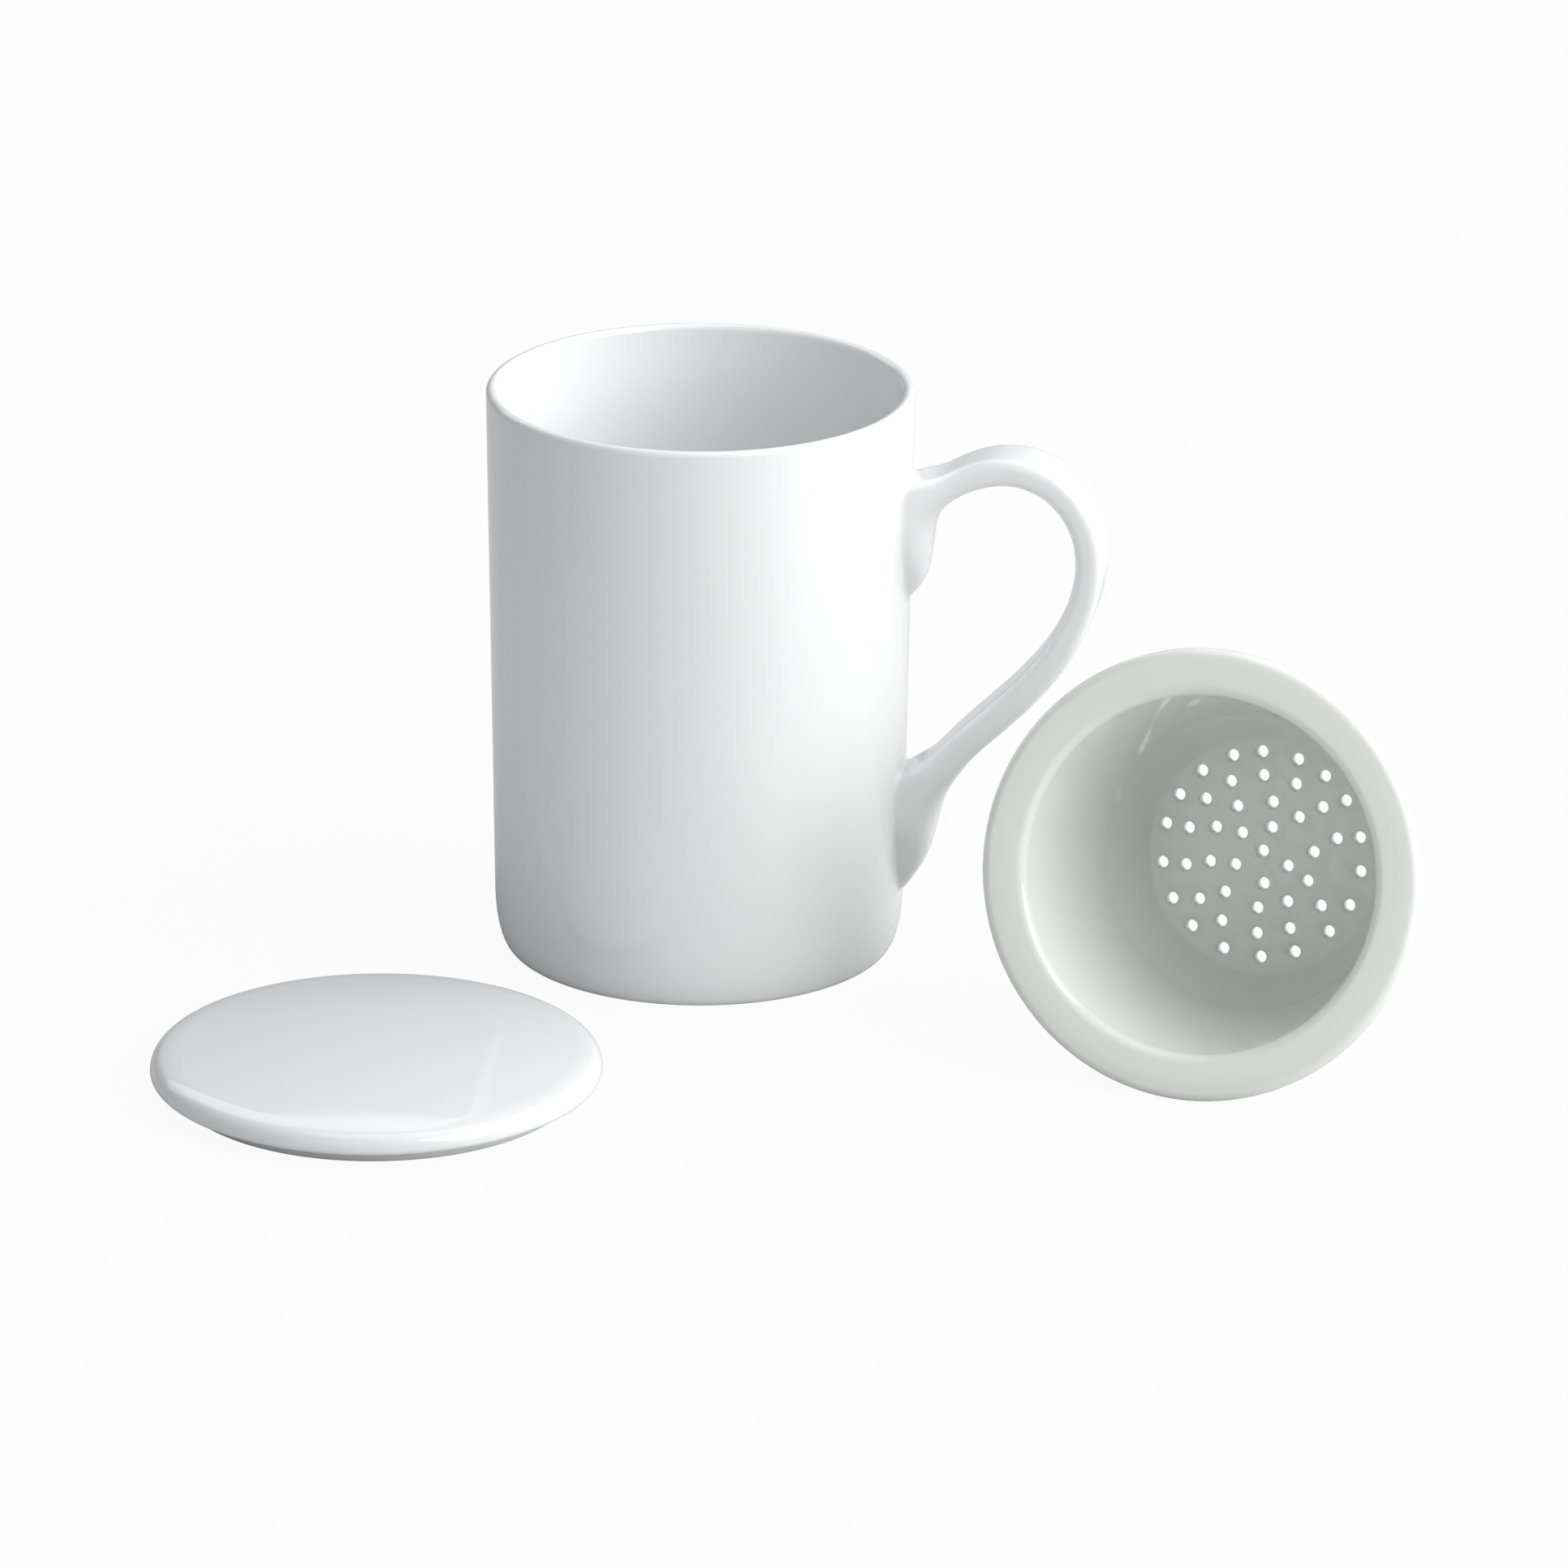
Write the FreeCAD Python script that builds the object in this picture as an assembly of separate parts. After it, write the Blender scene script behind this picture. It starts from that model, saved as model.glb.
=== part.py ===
import FreeCAD, Part
import math
import os

V = FreeCAD.Vector
UP = V(0, 0, 1)

# Lengths are in millimetres and angles in degrees
# The mug stands on z = 0, its axis runs through the origin and its handle points to +X

# Mug body
MUG_HEIGHT = 107.0
MUG_RIM_RADIUS = 39.0
MUG_LIP_WALL = 2.2
MUG_LOW_RADIUS = 37.7
MUG_LOW_WALL = 3.0
MUG_CORNER_HEIGHT = 11.0
MUG_CORNER_WIDTH = 2.8
MUG_FLOOR_TOP = 5.8
MUG_FLOOR_FILLET = 9.0
FOOT_RING_WIDTH = 3.2
FOOT_RECESS = 1.6
FOOT_RECESS_SLOPE = 1.2

# Handle strap
STRAP_WIDTH = 11.8
STRAP_THICK = 4.9
STRAP_CORNER_SHARE = 0.36
STRAP_CORNER_LIMIT = 2.4
ROOT_WIDTH = 13.0
TIP_WIDTH = 4.0

# Infuser cup
FLANGE_RADIUS = 40.3
FLANGE_THICK = 3.8
FLANGE_UNDER_FILLET = 1.5
FLANGE_EDGE_SHARE = 0.49
CUP_MOUTH_RADIUS = 32.2
CUP_MOUTH_ROUNDING = 1.6
CUP_WALL = 2.4
CUP_LOW_RADIUS = 25.9
CUP_DEPTH = 46.0
CUP_FLOOR = 2.6
CUP_FLOOR_EDGE = 21.6
CUP_COVE_HEIGHT = 3.9
CUP_COVE_ROUNDING = 7.0
CUP_OUTER_FILLET = 3.0

# Drain holes in the floor of the cup, in rings that sit a little off its middle
HOLE_DIAMETER = 2.2
HOLES_OFF_X = -0.7
HOLES_OFF_Y = 0.3
HOLE_RING_RADII = (0.7, 5.3, 9.8, 14.4, 18.7)
HOLE_RING_ANGLES = (
    (71,),
    (74, 139, 207, 280, 343),
    (9, 50, 83, 123, 156, 194, 231, 271, 305, 337),
    (18, 43, 69, 94, 119, 142, 167, 194, 221, 244, 272, 297, 326),
    (16, 38, 56, 74, 95, 112, 132, 151, 169, 191, 212, 231, 253, 275, 295, 318, 337, 357),
)

# Where the cup lies on its side
CUP_X = 100.3
CUP_Y = -52.5
CUP_MOUTH_HEADING = 261.8

# Lid
LID_RADIUS = 40.3
LID_EDGE_BOTTOM = 2.2
LID_TOP = 8.6
LID_SHOULDER_INSET = 3.2
LID_SHOULDER_DROP = 1.7
LID_UNDER_INSET = 2.4
LID_HOLLOW_TOP = 3.8
LID_RING_WALL = 2.6
LID_RING_CLEARANCE = 0.8
LID_X = -42.8
LID_Y = -83.3


def edge(start, end):
    return Part.makeLine(V(start[0], 0, start[1]), V(end[0], 0, end[1]))


def arc(start, middle, end):
    points = [V(r, 0, z) for r, z in (start, middle, end)]
    return Part.Arc(*points).toShape()


def rounding(before, corner, after, radius):
    # Start, middle and end of the arc that rounds one corner of a profile
    a = V(before[0] - corner[0], 0, before[1] - corner[1]).normalize()
    b = V(after[0] - corner[0], 0, after[1] - corner[1]).normalize()
    half = a.getAngle(b) / 2
    bisector = (a + b).normalize()
    tip = V(corner[0], 0, corner[1])
    start = tip + a * (radius / math.tan(half))
    end = tip + b * (radius / math.tan(half))
    middle = tip + bisector * (radius / math.sin(half) - radius)
    return [(p.x, p.z) for p in (start, middle, end)]


def profile(corners):
    # Closed run of straight edges through the corners, each given as point and rounding radius
    edges = []
    last = None
    count = len(corners)
    for index in range(count + 1):
        point, radius = corners[index % count]
        start = middle = end = point
        if radius:
            before = corners[(index - 1) % count][0]
            after = corners[(index + 1) % count][0]
            start, middle, end = rounding(before, point, after, radius)
        if last:
            edges.append(edge(last, start))
        if radius and index < count:
            edges.append(arc(start, middle, end))
        last = end
    return edges


def turned(edges):
    face = Part.Face(Part.Wire(Part.sortEdges(edges)[0]))
    return face.revolve(V(0, 0, 0), UP, 360)


# Mug body, a beaker on a low foot ring
foot_radius = MUG_LOW_RADIUS - MUG_CORNER_WIDTH
foot_inner = foot_radius - FOOT_RING_WIDTH
low_bore = MUG_LOW_RADIUS - MUG_LOW_WALL
bore = MUG_RIM_RADIUS - MUG_LIP_WALL
lip_rounding = MUG_LIP_WALL / 2
lip_z = MUG_HEIGHT - lip_rounding

corner_oval = Part.Ellipse(
    V(foot_radius, 0, 0),
    V(MUG_LOW_RADIUS, 0, MUG_CORNER_HEIGHT),
    V(foot_radius, 0, MUG_CORNER_HEIGHT),
)
low_corner = corner_oval.toShape(0, math.pi / 2)

floor_corner = rounding((0, MUG_FLOOR_TOP), (low_bore, MUG_FLOOR_TOP), (bore, lip_z), MUG_FLOOR_FILLET)

outside_edges = [
    low_corner,
    edge((MUG_LOW_RADIUS, MUG_CORNER_HEIGHT), (MUG_RIM_RADIUS, lip_z)),
]
lip_middle = (MUG_RIM_RADIUS - lip_rounding, MUG_HEIGHT)
body_edges = outside_edges + [
    arc((MUG_RIM_RADIUS, lip_z), lip_middle, (bore, lip_z)),
    edge((bore, lip_z), floor_corner[2]),
    arc(floor_corner[2], floor_corner[1], floor_corner[0]),
    edge(floor_corner[0], (0, MUG_FLOOR_TOP)),
    edge((0, MUG_FLOOR_TOP), (0, FOOT_RECESS)),
    edge((0, FOOT_RECESS), (foot_inner - FOOT_RECESS_SLOPE, FOOT_RECESS)),
    edge((foot_inner - FOOT_RECESS_SLOPE, FOOT_RECESS), (foot_inner, 0)),
    edge((foot_inner, 0), (foot_radius, 0)),
]
mug_body = turned(body_edges)
mug_envelope = turned(outside_edges + [
    edge((MUG_RIM_RADIUS, lip_z), (0, lip_z)),
    edge((0, lip_z), (0, 0)),
    edge((0, 0), (foot_radius, 0)),
])

# Handle, a flat strap whose two ends spread and run down the wall as tapering tongues
# Each point is a stand-off from the mug's outer wall and a height, less than zero being inside it
# Sections of the roots, as a point on the finger side, a point on the far side or in the wall, width
UPPER_ROOT = (
    ((0.5, 69.2), (-1.3, 70.2), TIP_WIDTH),
    ((3.4, 73.6), (-1.4, 75.0), 9.2),
    ((4.2, 77.2), (-1.3, 79.0), 11.8),
    ((4.5, 81.0), (-1.3, 83.4), ROOT_WIDTH),
    ((5.2, 84.8), (-1.2, 87.6), ROOT_WIDTH),
    ((7.0, 88.0), (-0.8, 90.8), 12.6),
    ((10.0, 90.5), (5.5, 93.7), STRAP_WIDTH),
)
LOWER_ROOT = (
    ((5.6, 39.2), (10.8, 37.0), STRAP_WIDTH),
    ((-0.6, 33.8), (8.6, 33.0), 12.2),
    ((-1.1, 30.5), (7.1, 28.8), 12.4),
    ((-1.0, 26.5), (6.0, 24.0), 12.4),
    ((-1.0, 22.2), (5.0, 19.6), 10.8),
    ((-0.9, 18.0), (3.0, 16.0), 8.2),
    ((-0.9, 13.8), (0.8, 12.6), TIP_WIDTH),
)
# Middle line of the free strap between the roots
STRAP_LINE = (
    (12.8, 94.5),
    (18.3, 95.4),
    (23.8, 94.3),
    (28.6, 91.1),
    (32.1, 86.2),
    (33.7, 80.2),
    (33.2, 73.6),
    (31.0, 66.9),
    (27.4, 60.2),
    (22.6, 54.0),
    (17.2, 48.2),
    (11.8, 42.6),
)


def beside_wall(point):
    standoff, height = point
    taper_share = (height - MUG_CORNER_HEIGHT) / (lip_z - MUG_CORNER_HEIGHT)
    wall_reach = MUG_LOW_RADIUS + (MUG_RIM_RADIUS - MUG_LOW_RADIUS) * taper_share
    return V(wall_reach + standoff, 0, height)


def strap_section(finger, far, width):
    # Rounded rectangle across the strap
    centre = (finger + far) * 0.5
    out = far - finger
    thick = out.Length
    out.normalize()
    across = V(0, 1, 0)
    corner = min(thick * STRAP_CORNER_SHARE, STRAP_CORNER_LIMIT, width * STRAP_CORNER_SHARE)
    half_w = width / 2
    half_t = thick / 2
    cut = corner * (1 - math.sqrt(0.5))
    arcs = []
    for side_w, side_t in ((1, 1), (-1, 1), (-1, -1), (1, -1)):
        on_face = centre + across * side_w * (half_w - corner) + out * side_t * half_t
        on_side = centre + across * side_w * half_w + out * side_t * (half_t - corner)
        middle = centre + across * side_w * (half_w - cut) + out * side_t * (half_t - cut)
        first, last = (on_side, on_face) if side_w * side_t > 0 else (on_face, on_side)
        arcs.append((first, middle, last))
    edges = []
    for number, (first, middle, last) in enumerate(arcs):
        edges.append(Part.Arc(first, middle, last).toShape())
        edges.append(Part.makeLine(last, arcs[(number + 1) % 4][0]))
    return Part.Wire(edges)


def root_sections(root):
    return [strap_section(beside_wall(finger), beside_wall(far), width) for finger, far, width in root]


line_points = [beside_wall(point) for point in STRAP_LINE]
free_sections = []
for index, point in enumerate(line_points):
    before = line_points[max(index - 1, 0)]
    after = line_points[min(index + 1, len(line_points) - 1)]
    far_way = V(0, 1, 0).cross(after - before).normalize() * (-STRAP_THICK / 2)
    free_sections.append(strap_section(point - far_way, point + far_way, STRAP_WIDTH))

strap_sections = root_sections(UPPER_ROOT) + free_sections + root_sections(LOWER_ROOT)
strap = Part.makeLoft(strap_sections, True, False)
mug_handle = strap.cut(mug_envelope)
if mug_handle.Solids:
    mug_handle = max(mug_handle.Solids, key=lambda solid: solid.Volume)

# Infuser cup, built mouth up with the underside of its floor on z = 0
cup_height = CUP_DEPTH + CUP_FLOOR
taper = (CUP_MOUTH_RADIUS - CUP_LOW_RADIUS) / CUP_DEPTH
floor_outer = CUP_LOW_RADIUS + CUP_WALL - taper * CUP_FLOOR
flange_under = cup_height - FLANGE_THICK
wall_top = CUP_MOUTH_RADIUS + CUP_WALL - taper * FLANGE_THICK
flange_rounding = FLANGE_THICK * FLANGE_EDGE_SHARE
cove_top = (CUP_LOW_RADIUS + taper * CUP_COVE_HEIGHT, CUP_FLOOR + CUP_COVE_HEIGHT)
cup_corners = [
    ((0, 0), 0),
    ((floor_outer, 0), CUP_OUTER_FILLET),
    ((wall_top, flange_under), FLANGE_UNDER_FILLET),
    ((FLANGE_RADIUS, flange_under), flange_rounding),
    ((FLANGE_RADIUS, cup_height), flange_rounding),
    ((CUP_MOUTH_RADIUS, cup_height), CUP_MOUTH_ROUNDING),
    (cove_top, CUP_COVE_ROUNDING),
    ((CUP_FLOOR_EDGE, CUP_FLOOR), 0),
    ((0, CUP_FLOOR), 0),
]
cup = turned(profile(cup_corners))


def drain(radius, angle):
    x = HOLES_OFF_X + radius * math.cos(angle)
    y = HOLES_OFF_Y + radius * math.sin(angle)
    return Part.makeCylinder(HOLE_DIAMETER / 2, 3 * CUP_FLOOR, V(x, y, -CUP_FLOOR), UP)


drains = [
    drain(ring_radius, math.radians(angle))
    for ring_radius, ring_angles in zip(HOLE_RING_RADII, HOLE_RING_ANGLES)
    for angle in ring_angles
]
cup = cup.cut(Part.makeCompound(drains))

# The cup lies on its side, resting on the edge of its flange and the corner of its floor
taper_angle = math.atan(taper)
flange_centre = V(FLANGE_RADIUS - flange_rounding, 0, flange_under + flange_rounding)
corner_reach = floor_outer + CUP_OUTER_FILLET * (math.tan(taper_angle) - 1 / math.cos(taper_angle))
corner_centre = V(corner_reach, 0, CUP_OUTER_FILLET)
between = flange_centre - corner_centre
lean = math.atan2(between.x, between.z)
lean += math.asin((flange_rounding - CUP_OUTER_FILLET) / between.Length)
mouth_up = FreeCAD.Rotation(V(1, 0, 0), 90 - math.degrees(lean))
heading = FreeCAD.Rotation(UP, CUP_MOUTH_HEADING - 270)
axis_height = (FLANGE_RADIUS - flange_rounding) * math.cos(lean) + flange_rounding
turn = heading.multiply(mouth_up)
rim_middle = turn.multVec(V(0, 0, flange_centre.z))
shift = V(CUP_X, CUP_Y, axis_height) - rim_middle
infuser = cup.copy()
infuser.Placement = FreeCAD.Placement(shift, turn)

# Lid, a shallow disc that stands on its locating ring
shoulder = (LID_RADIUS - LID_SHOULDER_INSET, LID_TOP - LID_SHOULDER_DROP)
nose_z = (shoulder[1] + LID_EDGE_BOTTOM) / 2
under = (LID_RADIUS - LID_UNDER_INSET, LID_EDGE_BOTTOM)
ring_outer = bore - LID_RING_CLEARANCE
ring_inner = ring_outer - LID_RING_WALL
dome_middle = (shoulder[0] / 2, LID_TOP - LID_SHOULDER_DROP / 4)
lid_edges = [
    arc((0, LID_TOP), dome_middle, shoulder),
    arc(shoulder, (LID_RADIUS, nose_z), under),
    edge(under, (ring_outer, LID_EDGE_BOTTOM)),
    edge((ring_outer, LID_EDGE_BOTTOM), (ring_outer, 0)),
    edge((ring_outer, 0), (ring_inner, 0)),
    edge((ring_inner, 0), (ring_inner, LID_EDGE_BOTTOM)),
    edge((ring_inner, LID_EDGE_BOTTOM), (0, LID_HOLLOW_TOP)),
    edge((0, LID_HOLLOW_TOP), (0, LID_TOP)),
]
lid = turned(lid_edges)
lid.translate(V(LID_X, LID_Y, 0))

# One file per piece
PIECES = {
    "mug_body": mug_body,
    "mug_handle": mug_handle,
    "infuser": infuser,
    "lid": lid,
}
os.makedirs("parts", exist_ok=True)
for name, shape in PIECES.items():
    solid = shape.Solids[0]
    solid.exportStep(os.path.join("parts", name + ".step"))
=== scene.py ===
import math

import bmesh
import bpy
from mathutils import Matrix, Vector


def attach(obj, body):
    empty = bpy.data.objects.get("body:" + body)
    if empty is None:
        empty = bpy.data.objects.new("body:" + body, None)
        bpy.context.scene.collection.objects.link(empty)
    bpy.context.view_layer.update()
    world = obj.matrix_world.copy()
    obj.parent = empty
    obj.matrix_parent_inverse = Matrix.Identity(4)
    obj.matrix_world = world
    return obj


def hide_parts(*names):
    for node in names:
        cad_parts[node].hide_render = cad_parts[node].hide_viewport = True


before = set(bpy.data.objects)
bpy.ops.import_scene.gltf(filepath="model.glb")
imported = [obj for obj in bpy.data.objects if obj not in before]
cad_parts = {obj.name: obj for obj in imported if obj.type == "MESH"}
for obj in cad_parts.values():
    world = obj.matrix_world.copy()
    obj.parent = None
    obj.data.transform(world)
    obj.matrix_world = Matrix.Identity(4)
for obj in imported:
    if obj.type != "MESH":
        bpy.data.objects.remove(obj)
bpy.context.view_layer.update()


# The mug body is a tall slip-cast porcelain beaker with a faint outward taper, a soft lower
# corner and a low foot ring. It is dipped in clear glaze, and only the foot ring, on which it
# stands in the kiln, is wiped bare.
MUG_HEIGHT = 0.1070
MUG_RIM = 0.0390
MUG_BORE = 0.0368
MUG_LOW = 0.0377
MUG_LOW_BORE = 0.0347
CORNER_HEIGHT = 0.0110
CORNER_WIDTH = 0.0028
MUG_FLOOR = 0.0058
FOOT_OUTER = MUG_LOW - CORNER_WIDTH
FOOT_WIDTH = 0.0032
FOOT_INNER = FOOT_OUTER - FOOT_WIDTH
FOOT_RECESS = 0.0016
FOOT_DRAFT = 0.0012
LIP_ROUNDING = 0.00108
BORE_FILLET = 0.0090
FOOT_EDGE_ROUNDING = 0.0005
RECESS_ROUNDING = 0.0008
# The glaze is wiped off up to this height, and this far inside the ring
WIPED_HEIGHT = 0.00035
WIPED_INSIDE = 0.0006
TURNS = 192
WHITE_GLAZE = (0.855, 0.865, 0.865, 1)
BARE_PORCELAIN = (0.80, 0.785, 0.76, 1)


def wire(bm, points):
    verts = [bm.verts.new((r, 0, z)) for r, z in points]
    for a, b in zip(verts, verts[1:]):
        bm.edges.new((a, b))
    return verts


def round_off(bm, vert, reach, steps):
    # One corner of a wire rounded, reach being how far along its two edges the curve starts
    bmesh.ops.bevel(
        bm,
        geom=[vert],
        offset=reach,
        offset_type="OFFSET",
        segments=steps,
        profile=0.5,
        affect="VERTICES",
        material=-1,
    )


def turn_full(bm, steps):
    # The whole wire spun round the Z axis, its seam and poles closed
    bmesh.ops.spin(
        bm,
        geom=bm.verts[:] + bm.edges[:],
        cent=(0, 0, 0),
        axis=(0, 0, 1),
        angle=2 * math.pi,
        steps=steps,
        use_merge=True,
    )
    bmesh.ops.remove_doubles(bm, verts=bm.verts, dist=2e-6)
    bmesh.ops.dissolve_degenerate(bm, dist=1e-7, edges=bm.edges)
    bmesh.ops.recalc_face_normals(bm, faces=bm.faces)


def finished(bm, name, *materials):
    mesh = bpy.data.meshes.new(name)
    bm.to_mesh(mesh)
    bm.free()
    for material in materials:
        mesh.materials.append(material)
    mesh.shade_smooth()
    piece = bpy.data.objects.new(name, mesh)
    bpy.context.scene.collection.objects.link(piece)
    return piece


def glaze(name, colour, waviness, swell_scale):
    # Clear glaze over white porcelain: glossy, with the faint swell of a dipped coat
    made = bpy.data.materials.new(name)
    made.use_nodes = True
    nodes = made.node_tree.nodes
    links = made.node_tree.links
    shader = nodes["Principled BSDF"]
    shader.inputs["IOR"].default_value = 1.50
    shader.inputs["Coat Weight"].default_value = 0.25
    shader.inputs["Coat Roughness"].default_value = 0.03
    where = nodes.new("ShaderNodeTexCoord")

    cloud = nodes.new("ShaderNodeTexNoise")
    cloud.inputs["Scale"].default_value = 26
    cloud.inputs["Detail"].default_value = 3
    links.new(where.outputs["Object"], cloud.inputs["Vector"])
    tint = nodes.new("ShaderNodeValToRGB")
    tint.color_ramp.elements[0].position = 0.30
    tint.color_ramp.elements[0].color = [c * 0.985 for c in colour[:3]] + [1]
    tint.color_ramp.elements[1].position = 0.72
    tint.color_ramp.elements[1].color = colour
    links.new(cloud.outputs["Fac"], tint.inputs["Fac"])
    links.new(tint.outputs["Color"], shader.inputs["Base Color"])

    gloss = nodes.new("ShaderNodeMapRange")
    gloss.inputs["To Min"].default_value = 0.04
    gloss.inputs["To Max"].default_value = 0.09
    links.new(cloud.outputs["Fac"], gloss.inputs["Value"])
    links.new(gloss.outputs["Result"], shader.inputs["Roughness"])

    swell = nodes.new("ShaderNodeTexNoise")
    swell.inputs["Scale"].default_value = swell_scale
    swell.inputs["Detail"].default_value = 1
    links.new(where.outputs["Object"], swell.inputs["Vector"])
    swell_bump = nodes.new("ShaderNodeBump")
    swell_bump.inputs["Strength"].default_value = waviness
    swell_bump.inputs["Distance"].default_value = 0.0012
    links.new(swell.outputs["Fac"], swell_bump.inputs["Height"])

    peel = nodes.new("ShaderNodeTexNoise")
    peel.inputs["Scale"].default_value = 1400
    peel.inputs["Detail"].default_value = 2
    links.new(where.outputs["Object"], peel.inputs["Vector"])
    peel_bump = nodes.new("ShaderNodeBump")
    peel_bump.inputs["Strength"].default_value = 0.03
    peel_bump.inputs["Distance"].default_value = 0.00005
    links.new(peel.outputs["Fac"], peel_bump.inputs["Height"])
    links.new(swell_bump.outputs["Normal"], peel_bump.inputs["Normal"])
    links.new(peel_bump.outputs["Normal"], shader.inputs["Normal"])
    return made


def bare(name):
    # Unglazed fired porcelain: matt, a little warmer, finely granular
    made = bpy.data.materials.new(name)
    made.use_nodes = True
    nodes = made.node_tree.nodes
    links = made.node_tree.links
    shader = nodes["Principled BSDF"]
    shader.inputs["Roughness"].default_value = 0.85
    where = nodes.new("ShaderNodeTexCoord")
    grain = nodes.new("ShaderNodeTexNoise")
    grain.inputs["Scale"].default_value = 2200
    grain.inputs["Detail"].default_value = 4
    links.new(where.outputs["Object"], grain.inputs["Vector"])
    tone = nodes.new("ShaderNodeValToRGB")
    tone.color_ramp.elements[0].position = 0.35
    tone.color_ramp.elements[0].color = [c * 0.9 for c in BARE_PORCELAIN[:3]] + [1]
    tone.color_ramp.elements[1].position = 0.65
    tone.color_ramp.elements[1].color = BARE_PORCELAIN
    links.new(grain.outputs["Fac"], tone.inputs["Fac"])
    links.new(tone.outputs["Color"], shader.inputs["Base Color"])
    rough = nodes.new("ShaderNodeBump")
    rough.inputs["Strength"].default_value = 0.35
    rough.inputs["Distance"].default_value = 0.0001
    links.new(grain.outputs["Fac"], rough.inputs["Height"])
    links.new(rough.outputs["Normal"], shader.inputs["Normal"])
    return made


mug_glaze = glaze("mug_glaze", WHITE_GLAZE, waviness=0.05, swell_scale=34)
bare_ring = bare("bare_porcelain")

# The outside corner is a quarter turn squeezed to its real width
mug = bmesh.new()
foot_corner = mug.verts.new((FOOT_OUTER, 0, 0))
bmesh.ops.spin(
    mug,
    geom=[foot_corner],
    cent=(FOOT_OUTER, 0, CORNER_HEIGHT),
    axis=(0, 1, 0),
    angle=-math.pi / 2,
    steps=20,
)
bmesh.ops.translate(mug, verts=mug.verts, vec=(-FOOT_OUTER, 0, 0))
bmesh.ops.scale(mug, verts=mug.verts, vec=(CORNER_WIDTH / CORNER_HEIGHT, 1, 1))
bmesh.ops.translate(mug, verts=mug.verts, vec=(FOOT_OUTER, 0, 0))
wall_start = max(mug.verts, key=lambda v: v.co.z)
foot_start = min(mug.verts, key=lambda v: v.co.z)
upper = wire(mug, [
    (MUG_RIM, MUG_HEIGHT),
    (MUG_BORE, MUG_HEIGHT),
    (MUG_LOW_BORE, MUG_FLOOR),
    (0, MUG_FLOOR),
])
lower = wire(mug, [
    (FOOT_INNER, 0),
    (FOOT_INNER - FOOT_DRAFT, FOOT_RECESS),
    (0, FOOT_RECESS),
])
mug.edges.new((wall_start, upper[0]))
mug.edges.new((foot_start, lower[0]))
round_off(mug, upper[0], LIP_ROUNDING, 8)
round_off(mug, upper[1], LIP_ROUNDING, 8)
round_off(mug, upper[2], BORE_FILLET, 14)
round_off(mug, lower[0], FOOT_EDGE_ROUNDING, 3)
round_off(mug, lower[1], RECESS_ROUNDING, 4)
turn_full(mug, TURNS)
for face in mug.faces:
    middle = face.calc_center_median()
    on_ring = math.hypot(middle.x, middle.y) > FOOT_INNER - WIPED_INSIDE
    face.material_index = 1 if on_ring and middle.z < WIPED_HEIGHT else 0
mug_shell = finished(mug, "mug_shell", mug_glaze, bare_ring)
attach(mug_shell, "mug")
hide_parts("mug_body")


# The handle is a flat strap cast on its own and luted to the leather-hard wall with slip. Its
# two roots spread and run down the wall as tapering tongues, and the glaze fills the joints.
STRAP_WIDTH = 0.0120
STRAP_THICK = 0.0051
STRAP_CORNER = 0.0015
HIDDEN_CORNER = 0.0006
CORNER_STEPS = 5
STEPS_BETWEEN = 5
SECTION_SPACING = 0.006
# Finger side, far side, width, and how far each side's corners are rounded
UPPER_ROOT = (
    ((0.0390, 0.0692), (0.0372, 0.0702), 0.0040, 0.0009, HIDDEN_CORNER),
    ((0.0420, 0.0736), (0.0372, 0.0750), 0.0092, 0.0032, HIDDEN_CORNER),
    ((0.0428, 0.0772), (0.0373, 0.0790), 0.0118, 0.0040, HIDDEN_CORNER),
    ((0.0432, 0.0810), (0.0374, 0.0834), 0.0130, 0.0044, HIDDEN_CORNER),
    ((0.0439, 0.0848), (0.0375, 0.0876), 0.0130, 0.0042, HIDDEN_CORNER),
    ((0.0458, 0.0880), (0.0380, 0.0908), 0.0126, 0.0032, 0.0010),
    ((0.0488, 0.0904), (0.0443, 0.0937), STRAP_WIDTH, 0.0020, STRAP_CORNER),
)
LOWER_ROOT = (
    ((0.0433, 0.0395), (0.0492, 0.0370), STRAP_WIDTH, STRAP_CORNER, 0.0019),
    ((0.0374, 0.0344), (0.0468, 0.0330), 0.0122, 0.0010, 0.0030),
    ((0.0369, 0.0305), (0.0452, 0.0288), 0.0124, HIDDEN_CORNER, 0.0042),
    ((0.0369, 0.0265), (0.0441, 0.0240), 0.0124, HIDDEN_CORNER, 0.0044),
    ((0.0369, 0.0222), (0.0428, 0.0196), 0.0108, HIDDEN_CORNER, 0.0040),
    ((0.0369, 0.0180), (0.0408, 0.0160), 0.0082, HIDDEN_CORNER, 0.0030),
    ((0.0368, 0.0138), (0.0385, 0.0126), 0.0040, HIDDEN_CORNER, 0.0009),
)
# Middle line of the free strap, and how much thicker it is than at its crown
STRAP_LINE = (
    (0.0516, 0.0945, 0),
    (0.0572, 0.0955, 0),
    (0.0626, 0.0944, 0),
    (0.0674, 0.0912, 0),
    (0.0708, 0.0862, 0),
    (0.0723, 0.0802, 0),
    (0.0718, 0.0736, 0),
    (0.0696, 0.0669, 0.0001),
    (0.0660, 0.0601, 0.0003),
    (0.0611, 0.0538, 0.0004),
    (0.0555, 0.0480, 0.0005),
    (0.0499, 0.0425, 0.0005),
)


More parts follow.
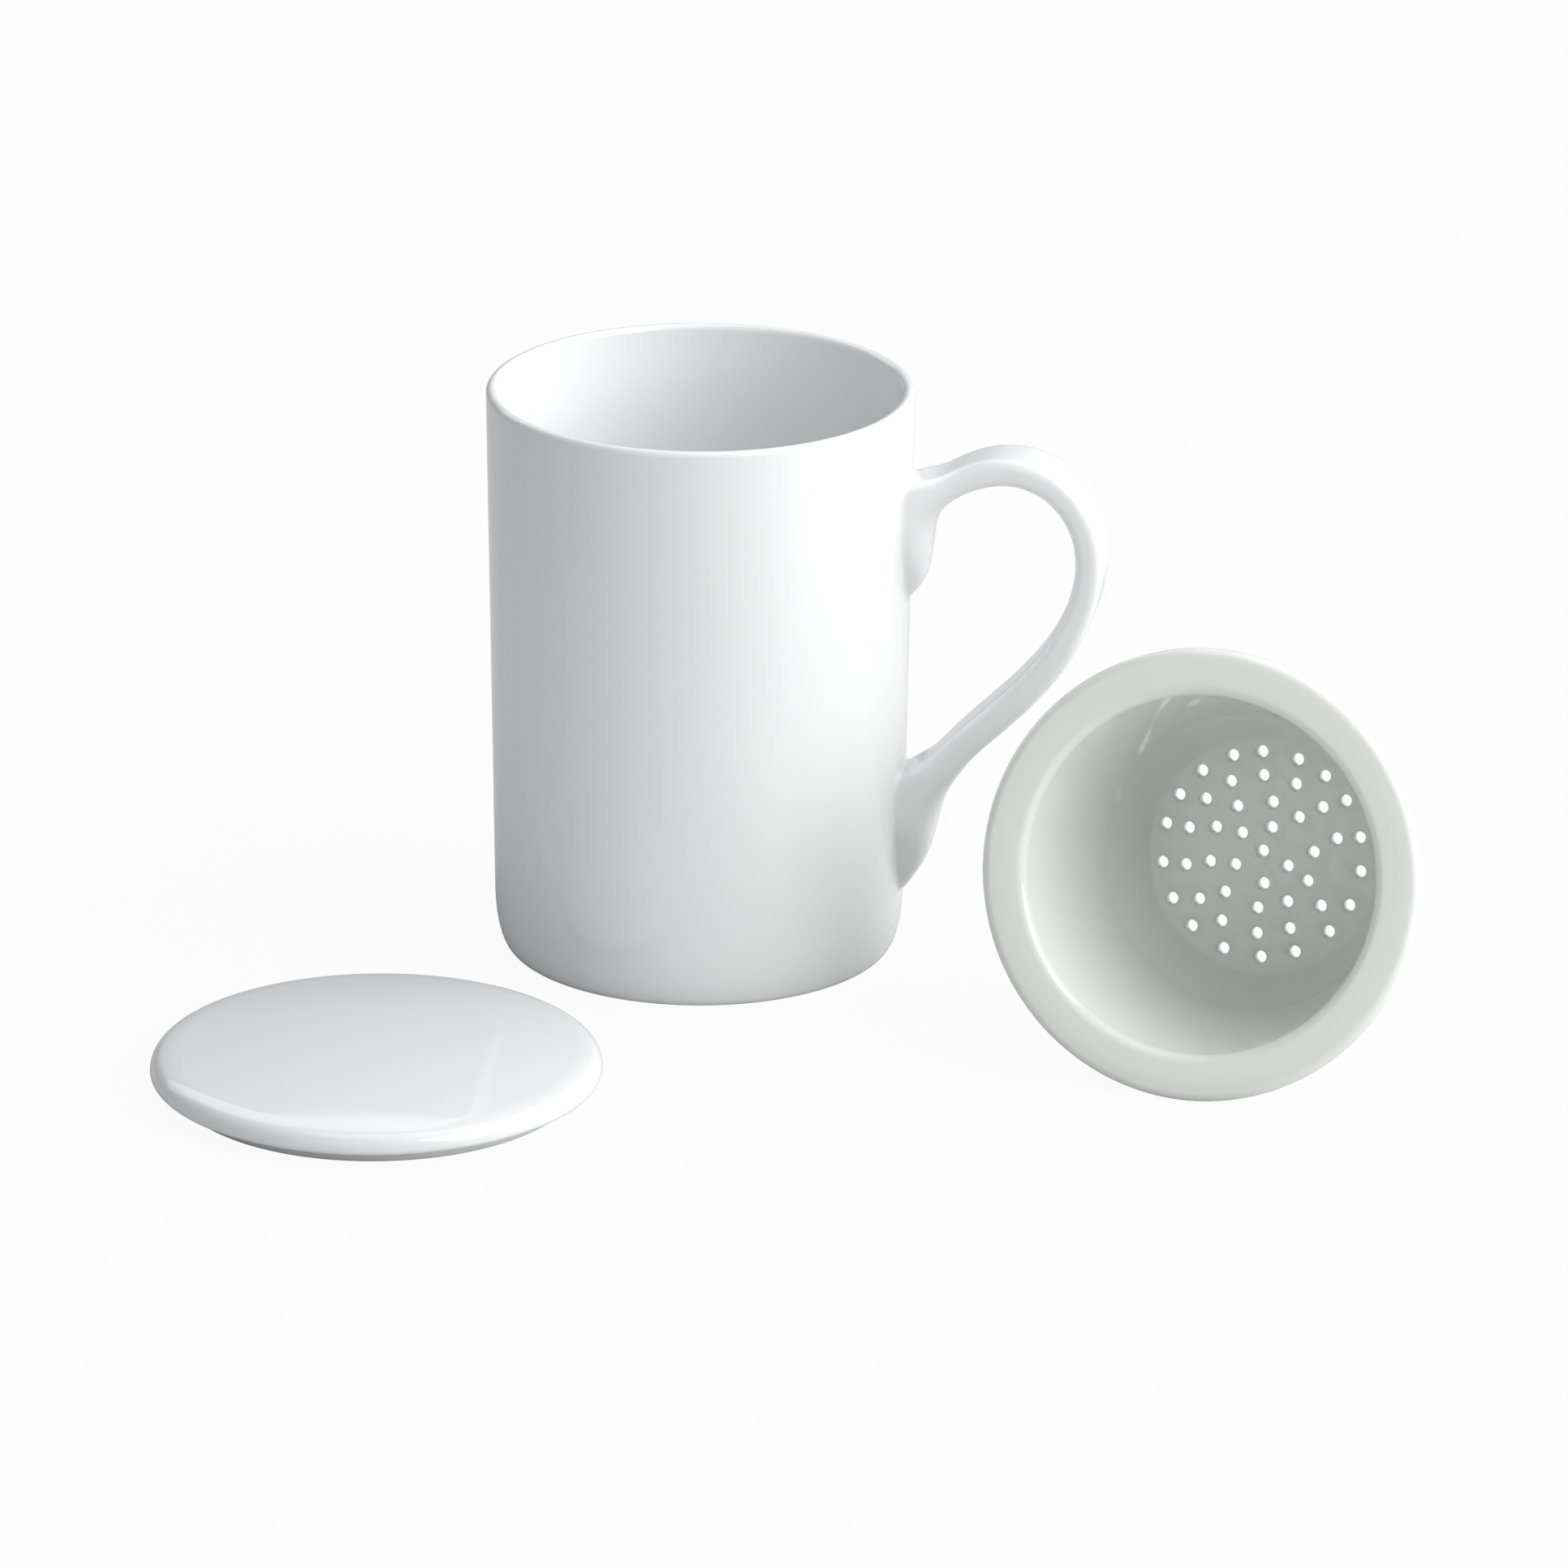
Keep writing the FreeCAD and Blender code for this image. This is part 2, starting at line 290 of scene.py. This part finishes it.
def strap_ring(bm, finger_side, far_side, width, finger_corner, far_corner):
    # A closed section of the strap, its corners rounded more where the roots swell
    finger = Vector(finger_side)
    far = Vector(far_side)
    across = Vector((0, width / 2, 0))
    corners = [bm.verts.new(finger - across), bm.verts.new(finger + across)]
    corners += [bm.verts.new(far + across), bm.verts.new(far - across)]
    for start, end in zip(corners, corners[1:] + corners[:1]):
        bm.edges.new((start, end))
    ring = set()
    for pair, reach in ((corners[:2], finger_corner), (corners[2:], far_corner)):
        made = bmesh.ops.bevel(
            bm,
            geom=pair,
            offset=reach,
            offset_type="OFFSET",
            segments=CORNER_STEPS,
            profile=0.5,
            affect="VERTICES",
            material=-1,
        )
        ring.update(made["verts"])
    return list({e for v in ring if v.is_valid for e in v.link_edges})


def through(points, steps):
    # Points of a smooth curve that passes through the given ones
    line = bpy.data.curves.new("through", "CURVE")
    line.dimensions = "3D"
    line.resolution_u = steps
    spline = line.splines.new("BEZIER")
    spline.bezier_points.add(len(points) - 1)
    for knot, point in zip(spline.bezier_points, points):
        knot.co = point
        knot.handle_left_type = knot.handle_right_type = "AUTO"
    guide = bpy.data.objects.new("through", line)
    bpy.context.scene.collection.objects.link(guide)
    bpy.context.view_layer.update()
    sampled = bpy.data.meshes.new_from_object(guide)
    made = [v.co.copy() for v in sampled.vertices]
    bpy.data.objects.remove(guide)
    bpy.data.curves.remove(line)
    bpy.data.meshes.remove(sampled)
    return made


# Every section from the upper root to the lower one, and the smooth lines that lead its two
# sides, its width with its finger corner, and its far corner from one to the next
strap_sides = list(UPPER_ROOT)
for index, (reach, height, extra) in enumerate(STRAP_LINE):
    before = STRAP_LINE[max(index - 1, 0)]
    after = STRAP_LINE[min(index + 1, len(STRAP_LINE) - 1)]
    along = Vector((after[0] - before[0], after[1] - before[1])).normalized()
    away = Vector((-along.y, along.x)) * (STRAP_THICK + extra) / 2
    middle = Vector((reach, height))
    strap_sides.append((middle - away, middle + away, STRAP_WIDTH, STRAP_CORNER, STRAP_CORNER))
strap_sides += LOWER_ROOT
finger_line = through([(side[0][0], 0, side[0][1]) for side in strap_sides], STEPS_BETWEEN)
far_line = through([(side[1][0], 0, side[1][1]) for side in strap_sides], STEPS_BETWEEN)
width_line = through(
    [(i * SECTION_SPACING, side[2], side[3]) for i, side in enumerate(strap_sides)],
    STEPS_BETWEEN,
)
corner_line = through(
    [(i * SECTION_SPACING, side[4], 0) for i, side in enumerate(strap_sides)],
    STEPS_BETWEEN,
)

strap = bmesh.new()
rings = [
    strap_ring(strap, finger, far, across.y, across.z, corner.y)
    for finger, far, across, corner in zip(finger_line, far_line, width_line, corner_line)
]
for ring, following in zip(rings, rings[1:]):
    bmesh.ops.bridge_loops(strap, edges=ring + following)
bmesh.ops.holes_fill(strap, edges=strap.edges, sides=0)
bmesh.ops.recalc_face_normals(strap, faces=strap.faces)

# A thin slice of the wall is fused to the strap, so that smoothing leaves a soft fillet where
# they meet; the slice itself stays just under the mug's own surface
WALL_SLICE = 0.00125
SLICE_LOW = 0.006
SLICE_HIGH = 0.100
SLICE_CUT_HEIGHT = 0.05
UNDER_SURFACE = 0.00005
BURIED_DEPTH = 0.00035
FUSING_CELL = 0.00040
SOFTENING_STEPS = 26
TAPER = (MUG_RIM - MUG_LOW) / (MUG_HEIGHT - CORNER_HEIGHT)


def wall_reach(height):
    return MUG_LOW + TAPER * (height - CORNER_HEIGHT)


wall = bmesh.new()
bmesh.ops.create_cone(
    wall,
    cap_ends=True,
    segments=256,
    radius1=wall_reach(SLICE_LOW) - UNDER_SURFACE,
    radius2=wall_reach(SLICE_HIGH) - UNDER_SURFACE,
    depth=SLICE_HIGH - SLICE_LOW,
    matrix=Matrix.Translation((0, 0, (SLICE_LOW + SLICE_HIGH) / 2)),
)
bmesh.ops.bisect_plane(
    wall,
    geom=wall.verts[:] + wall.edges[:] + wall.faces[:],
    plane_co=(wall_reach(SLICE_CUT_HEIGHT) - WALL_SLICE, 0, SLICE_CUT_HEIGHT),
    plane_no=Vector((-1, 0, TAPER)),
    clear_outer=True,
)
bmesh.ops.holes_fill(wall, edges=wall.edges, sides=0)
bmesh.ops.recalc_face_normals(wall, faces=wall.faces)
slice_mesh = bpy.data.meshes.new("wall_slice")
wall.to_mesh(slice_mesh)
wall.free()
strap.from_mesh(slice_mesh)
bpy.data.meshes.remove(slice_mesh)

handle = finished(strap, "mug_handle_strap", mug_glaze)
fuse = handle.modifiers.new("fuse", "REMESH")
fuse.mode = "VOXEL"
fuse.voxel_size = FUSING_CELL
fuse.use_smooth_shade = True
soften = handle.modifiers.new("soften", "SMOOTH")
soften.factor = 0.5
soften.iterations = SOFTENING_STEPS
fused = bpy.data.meshes.new_from_object(
    handle.evaluated_get(bpy.context.evaluated_depsgraph_get())
)
handle.modifiers.clear()
handle.data = fused

# The back of the slice, deep in the wall, is cut away again
trim = bmesh.new()
trim.from_mesh(fused)
buried = [
    f for f in trim.faces
    if math.hypot(f.calc_center_median().x, f.calc_center_median().y)
    < wall_reach(f.calc_center_median().z) - BURIED_DEPTH
]
bmesh.ops.delete(trim, geom=buried, context="FACES")
trim.to_mesh(fused)
trim.free()
fused.materials.clear()
fused.materials.append(mug_glaze)
fused.shade_smooth()
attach(handle, "mug")
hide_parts("mug_handle")


# The infuser is a tapered porcelain cup that hangs in the mug by its broad flange. Its flat
# floor is pierced by hand with rings of drain holes, whose edges the glaze has rounded. Here
# it lies on its side, on the edge of the flange and the corner of its floor.
FLANGE_RADIUS = 0.0403
FLANGE_THICK = 0.0038
CUP_MOUTH = 0.0322
CUP_LOW = 0.0259
CUP_WALL = 0.0024
CUP_DEPTH = 0.0460
CUP_FLOOR = 0.0026
CUP_HEIGHT = CUP_DEPTH + CUP_FLOOR
FLOOR_EDGE = 0.0216
FLOOR_DISC = 0.0212
COVE_HEIGHT = 0.0046
FLOOR_CORNER = 0.0026
FLANGE_ROOT = 0.0013
FLANGE_EDGE = 0.00185
MOUTH_ROUNDING = 0.0016
COVE_ROUNDING = 0.0060
CREASE_ROUNDING = 0.00025
HOLE_RADIUS = 0.0011
HOLE_LIP = 0.0004
HOLE_SIDES = 20
BORE_CUTS = 9
PATTERN_X = -0.0007
PATTERN_Y = 0.0003
# Radius of each ring of holes, and the angle of every hole on it
HOLE_RINGS = (
    (0.0007, (71,)),
    (0.0053, (74, 139, 207, 280, 343)),
    (0.0098, (9, 50, 83, 123, 156, 194, 231, 271, 305, 337)),
    (0.0144, (18, 43, 69, 94, 119, 142, 167, 194, 221, 244, 272, 297, 326)),
    (
        0.0187,
        (16, 38, 56, 74, 95, 112, 132, 151, 169, 191, 212, 231, 253, 275, 295, 318, 337, 357),
    ),
)
CUP_X = 0.1003
CUP_Y = -0.0525
MOUTH_HEADING = 261.8
# The two rounded edges that it lies on
RESTING_CORNER = 0.0030
RESTING_EDGE = FLANGE_THICK * 0.49
WARM_GLAZE = (0.85, 0.855, 0.83, 1)

cup_glaze = glaze("infuser_glaze", WARM_GLAZE, waviness=0.16, swell_scale=60)
taper = (CUP_MOUTH - CUP_LOW) / CUP_DEPTH
outer_low = CUP_LOW + CUP_WALL - taper * CUP_FLOOR
under_flange = CUP_HEIGHT - FLANGE_THICK
outer_high = CUP_MOUTH + CUP_WALL - taper * FLANGE_THICK

cup = bmesh.new()
outline = wire(cup, [
    (FLOOR_DISC, 0),
    (outer_low, 0),
    (outer_high, under_flange),
    (FLANGE_RADIUS, under_flange),
    (FLANGE_RADIUS, CUP_HEIGHT),
    (CUP_MOUTH, CUP_HEIGHT),
    (CUP_LOW, CUP_FLOOR + COVE_HEIGHT),
    (FLOOR_EDGE, CUP_FLOOR),
    (FLOOR_DISC, CUP_FLOOR),
])
round_off(cup, outline[1], FLOOR_CORNER, 8)
round_off(cup, outline[2], FLANGE_ROOT, 5)
round_off(cup, outline[3], FLANGE_EDGE, 8)
round_off(cup, outline[4], FLANGE_EDGE, 8)
round_off(cup, outline[5], MOUTH_ROUNDING, 8)
round_off(cup, outline[6], COVE_ROUNDING, 16)
round_off(cup, outline[7], CREASE_ROUNDING, 3)
turn_full(cup, TURNS)


def hole_places():
    for ring_radius, angles in HOLE_RINGS:
        for angle in map(math.radians, angles):
            yield Vector((
                PATTERN_X + ring_radius * math.cos(angle),
                PATTERN_Y + ring_radius * math.sin(angle),
                0,
            ))


def pierced_face(bm, height, up):
    # One face of the floor: the open rim of the cup and every hole's edge, filled between
    rim = [
        e for e in bm.edges
        if e.is_boundary
        and all(abs(v.co.z - height) < 1e-6 for v in e.verts)
        and abs(math.hypot(e.verts[0].co.x, e.verts[0].co.y) - FLOOR_DISC) < 1e-5
    ]
    loops = []
    for place in hole_places():
        made = bmesh.ops.create_circle(
            bm,
            cap_ends=False,
            segments=HOLE_SIDES,
            radius=HOLE_RADIUS + HOLE_LIP,
            matrix=Matrix.Translation(place + Vector((0, 0, height))),
        )
        loops.append(list({e for v in made["verts"] for e in v.link_edges}))
    bmesh.ops.triangle_fill(
        bm,
        use_beauty=True,
        use_dissolve=False,
        edges=rim + [e for loop in loops for e in loop],
        normal=(0, 0, up),
    )
    return loops


top_loops = pierced_face(cup, CUP_FLOOR, 1)
under_loops = pierced_face(cup, 0, -1)
for top, under in zip(top_loops, under_loops):
    bmesh.ops.bridge_loops(cup, edges=top + under)
bmesh.ops.recalc_face_normals(cup, faces=cup.faces)

# The bore of each hole is narrower than its glazed edges
bores = [
    e for e in cup.edges
    if abs(e.verts[0].co.z - e.verts[1].co.z) > CUP_FLOOR * 0.9
    and math.hypot(e.verts[0].co.x, e.verts[0].co.y) < FLOOR_DISC
]
bmesh.ops.subdivide_edges(cup, edges=bores, cuts=BORE_CUTS, use_grid_fill=True)
for place in hole_places():
    for vert in cup.verts:
        off = Vector((vert.co.x, vert.co.y)) - place.xy
        inside = min(vert.co.z, CUP_FLOOR - vert.co.z)
        if off.length < HOLE_RADIUS + HOLE_LIP + 2e-5 and inside > 1e-6:
            sunk = max(0.0, 1 - inside / HOLE_LIP)
            size = HOLE_RADIUS + HOLE_LIP * (1 - math.sqrt(1 - sunk * sunk))
            vert.co.xy = place.xy + off.normalized() * size

# The lean at which the edge of the flange and the corner of the floor both touch the table
slope = math.atan(taper)
high = Vector((FLANGE_RADIUS - RESTING_EDGE, under_flange + RESTING_EDGE))
low = Vector((
    outer_low + RESTING_CORNER * (math.tan(slope) - 1 / math.cos(slope)),
    RESTING_CORNER,
))
lean = math.atan2(high.x - low.x, high.y - low.y)
lean += math.asin((RESTING_EDGE - RESTING_CORNER) / (high - low).length)
axis_height = (FLANGE_RADIUS - RESTING_EDGE) * math.cos(lean) + RESTING_EDGE
laid = (
    Matrix.Translation((CUP_X, CUP_Y, axis_height))
    @ Matrix.Rotation(math.radians(MOUTH_HEADING - 270), 4, "Z")
    @ Matrix.Rotation(math.pi / 2 - lean, 4, "X")
    @ Matrix.Translation((0, 0, -(under_flange + RESTING_EDGE)))
)
bmesh.ops.transform(cup, matrix=laid, verts=cup.verts)
infuser = finished(cup, "infuser_cup", cup_glaze)
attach(infuser, "infuser")
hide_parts("infuser")


# The lid is a shallow pressed disc of porcelain with a rounded rim and no knob. A low ring
# under it drops inside the mug, and here it stands on that ring, which is wiped bare.
LID_RADIUS = 0.0403
LID_TOP = 0.0083
LID_EDGE_BOTTOM = 0.0025
LID_SHOULDER = 0.0368
LID_SHOULDER_HEIGHT = 0.0067
LID_HOLLOW = 0.0038
RIM_HEIGHT = 0.0059
RIM_FLARE = 0.0001
RIM_ROUNDING = 0.0023
RIM_UNDER_ROUNDING = 0.0018
RING_OUTER = 0.0360
RING_INNER = 0.0334
RING_ROOT_ROUNDING = 0.0008
RING_EDGE_ROUNDING = 0.0006
HOLLOW_ROUNDING = 0.0010
LID_WIPED_HEIGHT = 0.00025
LID_X = -0.0428
LID_Y = -0.0833
COOL_GLAZE = (0.82, 0.825, 0.835, 1)

lid_glaze = glaze("lid_glaze", COOL_GLAZE, waviness=0.05, swell_scale=30)
lid = bmesh.new()
drop = LID_TOP - LID_SHOULDER_HEIGHT
crown = (LID_SHOULDER ** 2 + drop ** 2) / (2 * drop)
top = lid.verts.new((0, 0, LID_TOP))
bmesh.ops.spin(
    lid,
    geom=[top],
    cent=(0, 0, LID_TOP - crown),
    axis=(0, 1, 0),
    angle=math.asin(LID_SHOULDER / crown),
    steps=24,
)
shoulder = max(lid.verts, key=lambda v: v.co.x)
rim = wire(lid, [
    (LID_RADIUS + RIM_FLARE, RIM_HEIGHT),
    (LID_RADIUS - RIM_FLARE, LID_EDGE_BOTTOM),
    (RING_OUTER, LID_EDGE_BOTTOM),
    (RING_OUTER, 0),
    (RING_INNER, 0),
    (RING_INNER, LID_EDGE_BOTTOM),
    (0, LID_HOLLOW),
])
lid.edges.new((shoulder, rim[0]))
round_off(lid, rim[0], RIM_ROUNDING, 10)
round_off(lid, rim[1], RIM_UNDER_ROUNDING, 8)
round_off(lid, rim[2], RING_ROOT_ROUNDING, 4)
round_off(lid, rim[3], RING_EDGE_ROUNDING, 4)
round_off(lid, rim[4], RING_EDGE_ROUNDING, 4)
round_off(lid, rim[5], HOLLOW_ROUNDING, 4)
turn_full(lid, TURNS)
for face in lid.faces:
    face.material_index = 1 if face.calc_center_median().z < LID_WIPED_HEIGHT else 0
bmesh.ops.translate(lid, verts=lid.verts, vec=(LID_X, LID_Y, 0))
lid_disc = finished(lid, "lid_disc", lid_glaze, bare_ring)
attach(lid_disc, "lid")
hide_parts("lid")


# The table is a plain white sweep, bright enough to the eye to melt into the background, and
# it still takes the pieces' soft shadows.
TABLE_REACH = 3.0
TABLE_GREY = (0.62, 0.62, 0.62, 1)
GLOW_SHARE = 0.94

table_paint = bpy.data.materials.new("table_paint")
table_paint.use_nodes = True
table_nodes = table_paint.node_tree.nodes
table_links = table_paint.node_tree.links
paint = table_nodes["Principled BSDF"]
paint.inputs["Base Color"].default_value = TABLE_GREY
paint.inputs["Roughness"].default_value = 0.9
paint.inputs["Specular IOR Level"].default_value = 0.1
glow = table_nodes.new("ShaderNodeEmission")
glow.inputs["Color"].default_value = (1, 1, 1, 1)
glow.inputs["Strength"].default_value = 1.0
to_the_eye = table_nodes.new("ShaderNodeLightPath")
share = table_nodes.new("ShaderNodeMath")
share.operation = "MULTIPLY"
share.inputs[1].default_value = GLOW_SHARE
blend = table_nodes.new("ShaderNodeMixShader")
table_links.new(to_the_eye.outputs["Is Camera Ray"], share.inputs[0])
table_links.new(share.outputs["Value"], blend.inputs["Fac"])
table_links.new(paint.outputs["BSDF"], blend.inputs[1])
table_links.new(glow.outputs["Emission"], blend.inputs[2])
table_links.new(blend.outputs["Shader"], table_nodes["Material Output"].inputs["Surface"])

table = bmesh.new()
bmesh.ops.create_grid(table, x_segments=1, y_segments=1, size=TABLE_REACH)
finished(table, "table", table_paint)


# Soft studio light. A wide panel on the right carries most of it, weaker ones stand behind on
# the right, in front and overhead, and a long window on the far left puts the bright band on
# the lid.
SET_MIDDLE = (0.02, -0.04, 0.05)
FILL_TINT = (0.80, 0.83, 0.84, 1)
FILL_STRENGTH = 0.36


def panel(name, where, aim, width, height, power):
    lamp = bpy.data.lights.new(name, "AREA")
    lamp.shape = "RECTANGLE"
    lamp.size = width
    lamp.size_y = height
    lamp.energy = power
    light = bpy.data.objects.new(name, lamp)
    light.location = where
    light.rotation_euler = (Vector(aim) - Vector(where)).to_track_quat("-Z", "Y").to_euler()
    bpy.context.scene.collection.objects.link(light)


panel("right_panel", (1.25, -0.30, 0.90), SET_MIDDLE, 1.8, 1.3, 28)
panel("back_right_panel", (0.95, 0.75, 0.75), SET_MIDDLE, 0.9, 0.9, 6.5)
panel("front_panel", (-0.50, -2.40, 1.00), (0.05, -0.05, 0.05), 1.6, 1.6, 4)
panel("overhead", (0.00, 0.00, 1.40), (0.00, 0.00, 0.00), 1.0, 1.0, 2.5)
panel("window", (-1.33, 1.30, 1.22), (-1.33, 0.00, 0.30), 2.3, 0.6, 4)

# The air fills in softly on the pieces, and shows the eye plain white
world = bpy.data.worlds.new("studio")
bpy.context.scene.world = world
world.use_nodes = True
air = world.node_tree.nodes
air_links = world.node_tree.links
fill = air["Background"]
fill.inputs["Color"].default_value = FILL_TINT
fill.inputs["Strength"].default_value = FILL_STRENGTH
seen = air.new("ShaderNodeBackground")
seen.inputs["Color"].default_value = (1, 1, 1, 1)
seen.inputs["Strength"].default_value = 1.0
path = air.new("ShaderNodeLightPath")
either = air.new("ShaderNodeMixShader")
air_links.new(path.outputs["Is Camera Ray"], either.inputs["Fac"])
air_links.new(fill.outputs["Background"], either.inputs[1])
air_links.new(seen.outputs["Background"], either.inputs[2])
air_links.new(either.outputs["Shader"], air["World Output"].inputs["Surface"])


# The camera stands where the photograph's outlines say it stood, far off with a long lens, and
# looks down on the set from the front, a little from its right
PHOTO_WIDTH = 1932
FOCAL_PIXELS = 12000
CAMERA_PLACE = (0.3077, -1.6553, 0.6509)
CAMERA_AZIMUTH = 10
CAMERA_ELEVATION = 20.24
CAMERA_ROLL = 0.36
eye = bpy.data.cameras.new("photo_camera")
eye.sensor_width = 36
eye.lens = FOCAL_PIXELS / PHOTO_WIDTH * eye.sensor_width
eye.clip_end = 20
camera = bpy.data.objects.new("photo_camera", eye)
turned = (
    Matrix.Rotation(math.radians(CAMERA_AZIMUTH), 4, "Z")
    @ Matrix.Rotation(math.radians(90 - CAMERA_ELEVATION), 4, "X")
    @ Matrix.Rotation(math.radians(CAMERA_ROLL), 4, "Z")
)
camera.matrix_world = Matrix.Translation(CAMERA_PLACE) @ turned
bpy.context.scene.collection.objects.link(camera)
bpy.context.scene.camera = camera
bpy.context.scene.view_settings.view_transform = "Standard"
